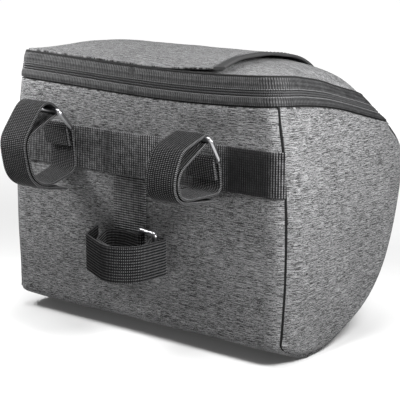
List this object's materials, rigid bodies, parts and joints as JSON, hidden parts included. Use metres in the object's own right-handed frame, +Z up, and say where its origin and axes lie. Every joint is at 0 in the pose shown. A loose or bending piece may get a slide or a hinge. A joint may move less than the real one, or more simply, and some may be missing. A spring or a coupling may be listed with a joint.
{
  "type": "bicycle handlebar bag",
  "caption": "Padded D-section bicycle handlebar bag with a zipped crowned lid, an open lid pocket and sewn strap loops with wire rings on its flat back.",
  "frame": {"origin": "middle of the flat part of the base, on the surface that the bag rests on", "axes": "+Z up; +X to the bag's right seen from the handlebar; +Y from the strapped back to the rounded front"},
  "size_m": [0.2604, 0.205, 0.2003],
  "materials": {
    "melange_cloth": "grey heather woven polyester over thin padding",
    "zip_tape": "black ribbed coil zip tape",
    "binding_tape": "smooth dark grosgrain binding",
    "black_webbing": "black ribbed webbing and hook-and-loop strap",
    "bright_steel": "polished bright plated steel"
  },
  "bodies": {
    "root": {"back_panel": "melange_cloth", "front_panel": "melange_cloth", "side_panel_left": "melange_cloth", "side_panel_right": "melange_cloth", "zip_tape_lower": "zip_tape", "zip_tape_upper": "zip_tape", "zip_slider": "bright_steel", "lid_panel": "melange_cloth", "lid_pocket": "melange_cloth", "pocket_binding": "binding_tape", "webbing_crosswise": "black_webbing", "webbing_upright": "black_webbing", "strap_left": "black_webbing", "strap_right": "black_webbing", "strap_stem": "black_webbing", "ring_left": "bright_steel", "ring_right": "bright_steel", "ring_stem": "bright_steel"}
  },
  "joints": []
}
